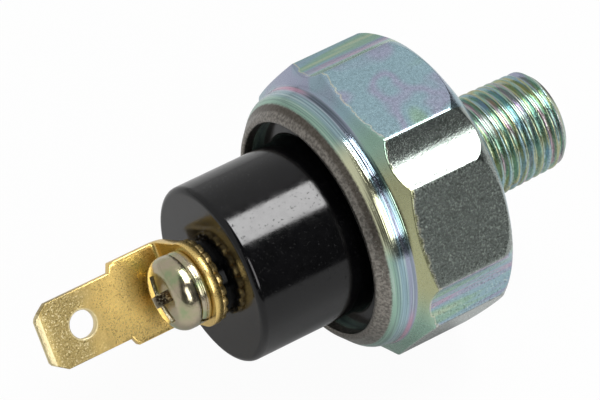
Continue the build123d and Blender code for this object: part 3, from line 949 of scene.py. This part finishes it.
class Nodes:
    """Short calls that make and link the nodes of a tree."""

    def __init__(self, tree):
        self.tree = tree

    def node(self, kind, inputs=None, **settings):
        """A node with its settings, its inputs given as values or as sockets to link."""
        node = self.tree.nodes.new(kind)
        for key, value in settings.items():
            setattr(node, key, value)
        for key, value in (inputs or {}).items():
            self.put(node.inputs[key], value)
        return node

    def put(self, socket, value):
        """Link a socket, or give it a value."""
        if isinstance(value, bpy.types.NodeSocket):
            self.tree.links.new(value, socket)
        elif socket.type == "RGBA" and len(value) == 3:
            socket.default_value = (*value, 1)
        else:
            socket.default_value = value

    def math(self, operation, a, b=0.0, c=0.0):
        """One step of arithmetic."""
        return self.node("ShaderNodeMath", {0: a, 1: b, 2: c}, operation=operation).outputs[0]

    def times(self, product, *others):
        """A product of two or more values."""
        for other in others:
            product = self.math("MULTIPLY", product, other)
        return product

    def plus(self, a, b):
        """A sum of two values."""
        return self.math("ADD", a, b)

    def less(self, a, b):
        """A value less another."""
        return self.math("SUBTRACT", a, b)

    def spread(self, value, low, high, to_low=0.0, to_high=1.0):
        """A value moved from one span to another, clamped and eased."""
        spans = {"From Min": low, "From Max": high, "To Min": to_low, "To Max": to_high}
        return self.node(
            "ShaderNodeMapRange", {"Value": value, **spans}, interpolation_type="SMOOTHSTEP"
        ).outputs[0]


class Finish(Nodes):
    """A node material: one Principled shader, with patterns on Object coordinates in mm."""

    def __init__(self, name, **values):
        self.material = bpy.data.materials.new(name)
        self.material.use_nodes = True
        super().__init__(self.material.node_tree)
        self.shader = self.tree.nodes["Principled BSDF"]
        for key, value in values.items():
            self.shader.inputs[key].default_value = value
        place = self.node("ShaderNodeTexCoord").outputs["Object"]
        self.mm = self.node(
            "ShaderNodeVectorMath", {0: place, "Scale": 1 / MM}, operation="SCALE"
        ).outputs[0]

    def noise(self, scale, detail=2.0, stretch=(1, 1, 1), roughness=0.5):
        """A noise from 0 to 1; scale is in features per mm, times the stretch of each axis."""
        place = self.node(
            "ShaderNodeVectorMath", {0: self.mm, 1: stretch}, operation="MULTIPLY"
        ).outputs[0]
        return self.node(
            "ShaderNodeTexNoise",
            {"Vector": place, "Scale": scale, "Detail": detail, "Roughness": roughness},
        ).outputs["Fac"]

    def ramp(self, value, stops):
        """A colour for each value, eased between a few stops."""
        node = self.node("ShaderNodeValToRGB", {0: value})
        node.color_ramp.interpolation = "EASE"
        elements = node.color_ramp.elements
        while len(elements) < len(stops):
            elements.new(0.5)
        for element, (position, shade) in zip(elements, stops):
            element.position = position
            element.color = (*shade, 1)
        return node.outputs[0]

    def mix(self, share, a, b):
        """Two colours mixed."""
        return self.node("ShaderNodeMix", {0: share, 6: a, 7: b}, data_type="RGBA").outputs[2]

    def bump(self, height, distance, strength=1.0, normal=None):
        """A bump of a height in mm."""
        inputs = {"Height": height, "Distance": distance * MM, "Strength": strength}
        if normal is not None:
            inputs["Normal"] = normal
        return self.node("ShaderNodeBump", inputs).outputs[0]

    def set(self, key, value):
        """Give one of the shader's sockets a value or a link."""
        self.put(self.shader.inputs[key], value)

    def toward(self, y, z, r, degrees):
        """1 where a place looks the given angle from up towards the front, -1 opposite."""
        side, up = -math.sin(math.radians(degrees)), math.cos(math.radians(degrees))
        return self.math("DIVIDE", self.plus(self.times(y, side), self.times(z, up)), r)

    def axis_places(self):
        """The place along the axis, the distance from it, and y and z, in mm."""
        x, y, z = self.node("ShaderNodeSeparateXYZ", {0: self.mm}).outputs
        square = self.plus(self.times(y, y), self.times(z, z))
        return x, self.math("SQRT", square), y, z


def zinc_body_finish():
    """Passivated zinc: film colours by place, painted light, turned grooves, pits, brushed lip."""
    c = bpy.context.scene.sender_colours
    f = Finish("passivated zinc", Metallic=1.0, Roughness=0.26)
    x, r, y, z = f.axis_places()
    # places in mm: the edges' radius, and where the collar's surface starts and ends
    edge_radius, collar_back, collar_front = 14.35, -11.0, -13.2
    half_sixth = math.radians(30)
    teal, lilac, green = tuple(c.zinc_teal), tuple(c.zinc_lilac), tuple(c.zinc_green)
    olive, pink, yellow = tuple(c.zinc_olive), tuple(c.zinc_pink), tuple(c.zinc_yellow)
    grey, lip_grey = tuple(c.zinc_shade_grey), tuple(c.lip_grey)
    straw, rose = between(green, yellow, 0.35), between(lilac, pink, 0.5)
    dull_pink = between(pink, (0.44, 0.44, 0.44), 0.5)
    # 1 where a place looks up and to the front, to the front, and down and to the front
    facing = f.toward(y, z, r, 36)
    front = f.toward(y, z, r, 100)
    below = f.toward(y, z, r, 140)
    # hexagon: broad patches, and streaks along the axis in the hollows
    patches = f.noise(0.14, 2.0, (0.9, 1.0, 1.0))
    streaks = f.noise(0.8, 2.0, (0.05, 1.0, 1.0))
    turn = f.math("ARCTAN2", z, y)
    sector = f.math("PINGPONG", f.plus(turn, math.pi), half_sixth)
    on_side = f.spread(r, 13.2, 13.4)
    in_hollow = f.times(f.spread(sector, math.radians(10.5), math.radians(9.5)), on_side)
    flats = f.ramp(
        patches,
        [(0.34, green), (0.42, teal), (0.50, teal), (0.57, lilac), (0.63, teal), (0.7, green)],
    )
    # painted shade: the flats that face the front are a darker grey
    front_shade = f.times(f.spread(front, 0.1, 0.45), on_side)
    sides = f.mix(front_shade, flats, scaled(grey, 0.87))
    hollows = f.ramp(
        streaks,
        [(0.32, straw), (0.40, green), (0.50, teal), (0.56, lilac), (0.61, rose), (0.68, teal)],
    )
    # painted shade: plain grey in the hollows that look up and to the front
    shaded_hollows = f.mix(f.spread(facing, 0.9, 0.98), hollows, scaled(grey, 1.2))
    base = f.mix(in_hollow, sides, shaded_hollows)
    # front cone: lilac and teal at the top, olive at the front, green and teal below
    wander = f.times(f.less(f.noise(0.2, 1.0, (0.0, 1.0, 1.0)), 0.5), 0.5)
    cone = f.ramp(
        f.math("MULTIPLY_ADD", f.plus(below, f.times(wander, 0.3)), 0.5, c=0.5),
        [(0.02, lilac), (0.1, teal), (0.22, green), (0.4, olive), (0.74, olive), (0.9, green)],
    )
    top_teal = f.times(f.spread(below, -0.7, -0.9), f.spread(patches, 0.52, 0.44))
    cone = f.mix(f.times(top_teal, 0.8), cone, teal)
    # the x at which the cone through a place reaches the edges' radius, made ragged
    front_edge = f.plus(x, f.times(f.less(edge_radius, r), math.tan(half_sixth)))
    front_edge = f.plus(front_edge, f.times(f.spread(f.noise(0.8, 3.0), 0.4, 0.7), -0.3))
    on_cone = f.spread(front_edge, -9.86, -9.93)
    base = f.mix(on_cone, base, cone)
    # a pale worn line along the hexagon's front edges
    pale_edges = f.times(f.spread(front_edge, -9.68, -9.78), f.spread(front_edge, -9.9, -9.84))
    base = f.mix(f.times(pale_edges, 0.6), base, (0.72, 0.70, 0.55))
    # collar: yellow where it looks up and to the front, teal elsewhere, pink in the root
    # the yellow is part film colour and part painted highlight
    pale = f.ramp(
        f.spread(x, collar_front, collar_back),
        [(0.0, yellow), (0.3, yellow), (0.55, teal), (0.75, lilac), (0.9, teal), (1.0, green)],
    )
    along = f.spread(f.plus(x, f.times(wander, 0.5)), collar_front, collar_back)
    cool = f.ramp(along, [(0.0, green), (0.35, teal), (0.6, teal), (0.8, lilac), (0.95, lilac)])
    grooves = f.noise(6.5, 2.0, (1.0, 0.01, 0.01), 0.7)
    cool = f.mix(f.times(f.spread(grooves, 0.52, 0.40), 0.5), cool, (0.17, 0.24, 0.25))
    cool = f.mix(f.times(f.spread(grooves, 0.55, 0.65), 0.5), cool, (0.60, 0.72, 0.66))
    collar = f.mix(f.spread(facing, 0.86, 0.97), cool, pale)
    root_pink = f.times(
        f.spread(x, -11.75, -11.45), f.spread(x, -11.1, -11.3), f.spread(facing, 0.6, 0.35)
    )
    collar = f.mix(root_pink, collar, pink)
    # painted shade: a dark band in the collar's root on the upper side
    root_shade = f.times(
        f.spread(x, -11.85, -11.6),
        f.spread(x, -11.1, -11.35),
        f.spread(grooves, 0.62, 0.42, 0.3, 1.0),
        f.spread(below, -0.985, -0.93),
        f.spread(below, 0.1, -0.2, 0.0, 0.8),
    )
    collar = f.mix(root_shade, collar, (0.06, 0.09, 0.11))
    on_collar = f.spread(x, collar_back, collar_back - 0.15)
    base = f.mix(on_collar, base, collar)
    # lip: brushed grey over the rolled edge, with painted shade: a dark band next to the collar
    scuffs = f.noise(3.6, 3.0, (1.0, 1.0, 1.0), 0.6)
    lip = f.ramp(scuffs, [(0.35, scaled(lip_grey, 0.65)), (0.65, scaled(lip_grey, 1.4))])
    on_lip = f.spread(f.plus(x, f.times(scuffs, 0.14)), -13.05, -13.25)
    lip_shade = f.times(f.spread(x, -13.85, -13.6), f.spread(below, 0.5, 0.0, 0.0, 0.7))
    lip = f.mix(lip_shade, lip, (0.075, 0.062, 0.048))
    base = f.mix(on_lip, base, lip)
    # thread: bands of colour along its turns
    thread = f.ramp(
        f.noise(0.9, 2.0, (1.9, 0.12, 0.12)),
        [
            (0.34, dull_pink),
            (0.42, green),
            (0.5, olive),
            (0.57, teal),
            (0.64, green),
            (0.72, lilac),
        ],
    )
    on_thread = f.times(f.spread(x, 0.05, 0.3), f.spread(r, 5.8, 5.4))
    base = f.mix(on_thread, base, thread)
    # fine grain: dark specks and painted glints, weaker on the turned collar and cone
    speckle = f.noise(5.0, 3.0, roughness=0.7)
    on_turned = f.times(on_collar, f.less(1.0, on_lip))
    grain = f.less(f.less(1.0, f.times(on_turned, 0.85)), f.times(on_cone, 0.7))
    grain = f.math("MAXIMUM", grain, 0.1)
    specks = f.times(f.spread(speckle, 0.47, 0.36), grain, f.spread(front, 0.0, 0.5, 0.15, 0.6))
    base = f.mix(specks, base, (0.13, 0.15, 0.12))
    glints = f.times(f.spread(speckle, 0.56, 0.68), grain, f.spread(front, 0.0, 0.5, 0.1, 0.8))
    f.set("Base Color", f.mix(glints, base, (0.66, 0.74, 0.66)))
    # gloss and relief
    rough = f.less(f.spread(speckle, 0.35, 0.65, 0.22, 0.30), f.times(in_hollow, 0.04))
    rough = f.plus(rough, f.times(on_lip, 0.1))
    rough = f.less(rough, f.times(on_turned, f.spread(x, -12.7, -12.3, 0.05, 0.12)))
    f.set("Roughness", f.less(rough, f.times(on_thread, 0.05)))
    height = f.times(speckle, grain, f.spread(front, 0.0, 0.5, 0.5, 1.7))
    normal = f.bump(height, 0.03, 0.6)
    normal = f.bump(f.times(grooves, on_turned), 0.055, 0.9, normal)
    f.set("Normal", f.bump(f.times(scuffs, on_lip), 0.05, 0.6, normal))
    return f.material


def phenolic_finish():
    """Glossy black moulding with a few fine pits."""
    black = tuple(bpy.context.scene.sender_colours.phenolic)
    f = Finish("black phenolic", Roughness=0.13, IOR=1.4)
    f.set("Base Color", f.ramp(f.noise(0.8, 2.0), [(0.3, black), (0.7, scaled(black, 1.6))]))
    f.set("Roughness", f.spread(f.noise(1.4, 2.0), 0.3, 0.7, 0.11, 0.17))
    pits = f.spread(f.noise(4.2, 2.0, roughness=0.6), 0.66, 0.71)
    f.set("Normal", f.bump(f.noise(6.0, 2.0), 0.0016, 0.6, f.bump(pits, -0.025, 0.7)))
    return f.material


def terminal_finish():
    """Matte speckled tab, smoother and deeper gold near the bend, painted highlights on edges."""
    c = bpy.context.scene.sender_colours
    s = bpy.context.scene.sender_terminal
    f = Finish("terminal brass", Metallic=1.0, Roughness=0.42)
    x, _, y, z = f.axis_places()
    matte, pale = tuple(c.brass), tuple(c.brass_pale)
    grain = f.noise(6.0, 3.0, roughness=0.7)
    tab = f.ramp(grain, [(0.34, scaled(matte, 0.4)), (0.45, matte), (0.55, matte), (0.66, pale)])
    # smoother, deeper gold towards the bend: partly the brass's tone, partly painted light
    bend = f.spread(f.plus(x, f.times(f.noise(0.35, 1.0), 4.0)), -34.0, -31.2)
    base = f.mix(bend, tab, tuple(c.brass_gold))
    # painted highlight along the tip's bevel and round the hole
    tip = (boss_front_x() - s.thickness - s.reach) / MM
    hole_x, hole_radius = tip + s.hole_to_tip / MM, s.hole_radius / MM
    along = f.less(x, hole_x)
    across = f.plus(f.times(y, math.cos(s.turn)), f.times(z, math.sin(s.turn)))
    from_hole = f.math("SQRT", f.plus(f.times(along, along), f.times(across, across)))
    hole_rim = f.spread(from_hole, hole_radius + 0.22, hole_radius + 0.1)
    tip_edge = f.spread(x, tip + 0.62, tip + 0.5)
    pale_edges = f.times(f.math("MAXIMUM", hole_rim, tip_edge), 0.65)
    f.set("Base Color", f.mix(pale_edges, base, pale))
    f.set("Roughness", f.less(f.spread(grain, 0.3, 0.7, 0.36, 0.48), f.times(bend, 0.12)))
    f.set("Normal", f.bump(f.times(grain, f.spread(bend, 0, 1, 1.0, 0.06)), 0.03, 0.9))
    return f.material


def insert_finish():
    """Bright machined brass."""
    f = Finish("insert brass", Metallic=1.0, Roughness=0.3)
    grain = f.noise(3.0, 3.0, (3.0, 1.0, 1.0))
    f.set("Base Color", f.ramp(grain, [(0.3, (0.45, 0.32, 0.12)), (0.7, (0.68, 0.52, 0.24))]))
    f.set("Roughness", f.spread(grain, 0.3, 0.7, 0.24, 0.38))
    f.set("Normal", f.bump(grain, 0.01, 0.5))
    return f.material


def fastener_finish(name, roughness, recess_x=None, lines=0.0):
    """Yellowish zinc with faint film colours.

    It is browner in a recess, where x is past recess_x in mm, and may have lines round the axis,
    whose depth is in mm.
    """
    f = Finish(name, Metallic=1.0, Roughness=roughness)
    x, r = f.axis_places()[:2]
    zinc = tuple(bpy.context.scene.sender_colours.screw_zinc)
    base = f.ramp(
        f.noise(0.7, 2.0),
        [(0.3, (0.36, 0.42, 0.24)), (0.45, zinc), (0.6, (0.50, 0.43, 0.31)), (0.75, zinc)],
    )
    fine = f.noise(5.0, 3.0, roughness=0.6)
    if recess_x is not None:
        inside = f.times(f.spread(x, recess_x, recess_x + 0.2), f.spread(r, 2.3, 2.15))
        brown = f.ramp(fine, [(0.45, (0.20, 0.13, 0.06)), (0.62, (0.75, 0.68, 0.50))])
        base = f.mix(inside, base, brown)
    f.set("Base Color", base)
    f.set("Roughness", f.spread(fine, 0.3, 0.7, roughness * 0.8, roughness * 1.25))
    normal = f.bump(fine, 0.02, 0.6)
    if lines:
        normal = f.bump(f.noise(4.0, 2.0, (1.0, 0.02, 0.02), 0.7), lines, 1.0, normal)
    f.set("Normal", normal)
    return f.material


def plain_finish(name, dark, light, metallic, roughness, scale, relief):
    """A plain finish with a fine grain of two tones; relief is in mm."""
    f = Finish(name, Metallic=metallic, Roughness=roughness)
    grain = f.noise(scale, 3.0)
    f.set("Base Color", f.ramp(grain, [(0.35, dark), (0.65, light)]))
    f.set("Roughness", f.spread(grain, 0.3, 0.7, roughness * 0.85, roughness * 1.15))
    f.set("Normal", f.bump(grain, relief, 0.5))
    return f.material


class SENDER_OT_inner_pieces(bpy.types.Operator):
    """Give the pieces inside the body their finishes"""

    bl_idname = "sender.inner_pieces"
    bl_label = "Inner pieces"

    def execute(self, context):
        brass_nodes = ("contact_ring", "contact_disc", "spring_seat", "adjusting_screw")
        # dark and light tone, metallic, roughness, features per mm and relief in mm
        rubber = ((0.015,) * 3, (0.03,) * 3, 0.0, 0.7, 2.0, 0.02)
        film = ((0.5, 0.2, 0.03), (0.6, 0.27, 0.05), 0.0, 0.35, 0.6, 0.002)
        steel = ((0.42, 0.42, 0.43), (0.58, 0.58, 0.58), 1.0, 0.3, 3.0, 0.005)
        brass = ((0.55, 0.38, 0.13), (0.70, 0.52, 0.22), 1.0, 0.3, 2.0, 0.005)
        plastic = ((0.70, 0.67, 0.56), (0.78, 0.75, 0.66), 0.0, 0.45, 1.5, 0.004)
        fibre = ((0.20, 0.13, 0.08), (0.32, 0.22, 0.14), 0.0, 0.8, 2.5, 0.03)
        for name, values, nodes in (
            ("seal rubber", rubber, ("diaphragm_seal",)),
            ("amber film", film, ("diaphragm",)),
            ("plain steel", steel, ("thrust_plate",)),
            ("contact brass", brass, brass_nodes),
            ("plunger plastic", plastic, ("plunger",)),
            ("gasket fibre", fibre, ("flange_gasket",)),
        ):
            finish = plain_finish(name, *values)
            for node in nodes:
                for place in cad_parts[node].material_slots:
                    place.material = finish
        return {"FINISHED"}


# Stage


def looking(place, side, back):
    """The matrix of a light or camera at a place, with its X along side, looking against back."""
    turn = Matrix((side, back.cross(side), back)).transposed().to_4x4()
    return Matrix.Translation(place) @ turn


class SENDER_OT_stage(bpy.types.Operator):
    """Set up the floor, the soft lights, the room and the camera"""

    bl_idname = "sender.stage"
    bl_label = "Stage"

    def floor(self, settings):
        """A white floor that keeps the sender's shadow.

        It shines by itself to the camera and, more weakly, to mirror images, and is a plain pale
        floor for the rest of the light.
        """
        seen_share, mirrored_share = 0.96, 0.14
        half, height = settings.floor_size / 2, cad_box[0][2]
        mesh = bpy.data.meshes.new("floor")
        corners = [(-half, -half), (half, -half), (half, half), (-half, half)]
        mesh.from_pydata([(x, y, height) for x, y in corners], [], [(0, 1, 2, 3)])
        material = bpy.data.materials.new("white floor")
        material.use_nodes = True
        material.node_tree.nodes.clear()
        f = Nodes(material.node_tree)
        rays = f.node("ShaderNodeLightPath").outputs
        mirrored = f.math("MAXIMUM", rays["Is Glossy Ray"], rays["Is Transmission Ray"])
        seen = f.times(rays["Is Camera Ray"], seen_share)
        share = f.math("MULTIPLY_ADD", mirrored, mirrored_share, seen)
        diffuse = f.node("ShaderNodeBsdfDiffuse", {"Color": (0.6, 0.6, 0.6)}).outputs[0]
        light = f.node("ShaderNodeEmission", {"Strength": 1.0}).outputs[0]
        mixed = f.node("ShaderNodeMixShader", {0: share, 1: diffuse, 2: light}).outputs[0]
        f.node("ShaderNodeOutputMaterial", {0: mixed})
        mesh.materials.append(material)
        floor = add_to_scene("floor", mesh)

    def soft_light(self, name, way, along, size, distance, radiance):
        """A rectangular light that faces the sender from the direction way."""
        middle = Vector((-12 * MM, 0, 0))
        back = Vector(way).normalized()
        side = Vector(along)
        side = (side - back * side.dot(back)).normalized()
        data = bpy.data.lights.new(name, "AREA")
        data.shape = "RECTANGLE"
        data.size, data.size_y = size
        data.energy = radiance * math.pi * size[0] * size[1]
        add_to_scene(name, data).matrix_world = looking(middle + back * distance, side, back)

    def room(self, scene):
        """A room that is pale behind and to the left, and dark in front and to the right."""
        pale_way, dark_end, pale_start = (-0.5, 0.85, 0.0), -0.02, 0.22
        settings = scene.sender_stage
        world = bpy.data.worlds.new("room")
        scene.world = world
        world.use_nodes = True
        world.node_tree.nodes.clear()
        w = Nodes(world.node_tree)
        place = w.node("ShaderNodeTexCoord").outputs["Generated"]
        dot = w.node("ShaderNodeVectorMath", {0: place, 1: pale_way}, operation="DOT_PRODUCT")
        facing = dot.outputs["Value"]
        tone = w.spread(facing, dark_end, pale_start, settings.shade, settings.room)
        background = w.node("ShaderNodeBackground", {"Color": tone}).outputs[0]
        w.node("ShaderNodeOutputWorld", {0: background})

    def camera(self, scene):
        """A long lens, looking down on the sender from the terminal's side."""
        place = (-0.1754, -0.21756, 0.29712)
        back = Vector((-0.40209, -0.54623, 0.73481)).normalized()
        right = Vector((0.82506, -0.56411, 0.03253)).normalized()
        data = bpy.data.cameras.new("camera")
        data.lens, data.sensor_width = 268.4, 36.0
        data.clip_start, data.clip_end = 0.01, 20.0
        scene.camera = add_to_scene("camera", data)
        scene.camera.matrix_world = looking(place, right, back)

    def execute(self, context):
        scene = context.scene
        settings = scene.sender_stage
        self.floor(settings)
        # direction, way of the first side, the two sides and the distance in metres
        overhead = ((0.40, -0.035, 0.916), (0, 1, 0), (0.355, 0.17), 0.6)
        beside = ((-0.06, -0.819, 0.574), (1, 0, 0), (0.33, 0.44), 0.7)
        self.soft_light("key light", *overhead, settings.key_light)
        self.soft_light("side light", *beside, settings.side_light)
        self.room(scene)
        self.camera(scene)
        scene.view_settings.view_transform = "Standard"
        return {"FINISHED"}


class SENDER_PT_panel(bpy.types.Panel):
    """The sender's pieces and settings in the sidebar"""

    bl_label = "Oil pressure sender"
    bl_idname = "SENDER_PT_panel"
    bl_space_type = "VIEW_3D"
    bl_region_type = "UI"
    bl_category = "Sender"

    def draw(self, context):
        layout = self.layout
        for operator in OPERATORS:
            layout.operator(operator.bl_idname)
        for name in GROUPS:
            box = layout.box()
            group = getattr(context.scene, name)
            for key in group.__annotations__:
                box.prop(group, key)


GROUPS = {
    "sender_body": BodySizes,
    "sender_insulator": InsulatorSizes,
    "sender_terminal": TerminalSizes,
    "sender_screw": ScrewSizes,
    "sender_spring": SpringSizes,
    "sender_colours": FinishColours,
    "sender_stage": StageSettings,
}
OPERATORS = (
    SENDER_OT_body,
    SENDER_OT_insulator,
    SENDER_OT_insert,
    SENDER_OT_terminal,
    SENDER_OT_washer,
    SENDER_OT_screw,
    SENDER_OT_spring,
    SENDER_OT_inner_pieces,
    SENDER_OT_stage,
)


def register():
    for group in GROUPS.values():
        bpy.utils.register_class(group)
    for name, group in GROUPS.items():
        setattr(bpy.types.Scene, name, PointerProperty(type=group))
    for operator in OPERATORS:
        bpy.utils.register_class(operator)
    bpy.utils.register_class(SENDER_PT_panel)


def unregister():
    bpy.utils.unregister_class(SENDER_PT_panel)
    for operator in reversed(OPERATORS):
        bpy.utils.unregister_class(operator)
    for name, group in reversed(GROUPS.items()):
        delattr(bpy.types.Scene, name)
        bpy.utils.unregister_class(group)


def main():
    register()
    for operator in OPERATORS:
        category, name = operator.bl_idname.split(".")
        if getattr(getattr(bpy.ops, category), name)() != {"FINISHED"}:
            raise RuntimeError(f"{operator.bl_label} wasn't built")
    bpy.context.view_layer.update()


if __name__ == "__main__":
    main()
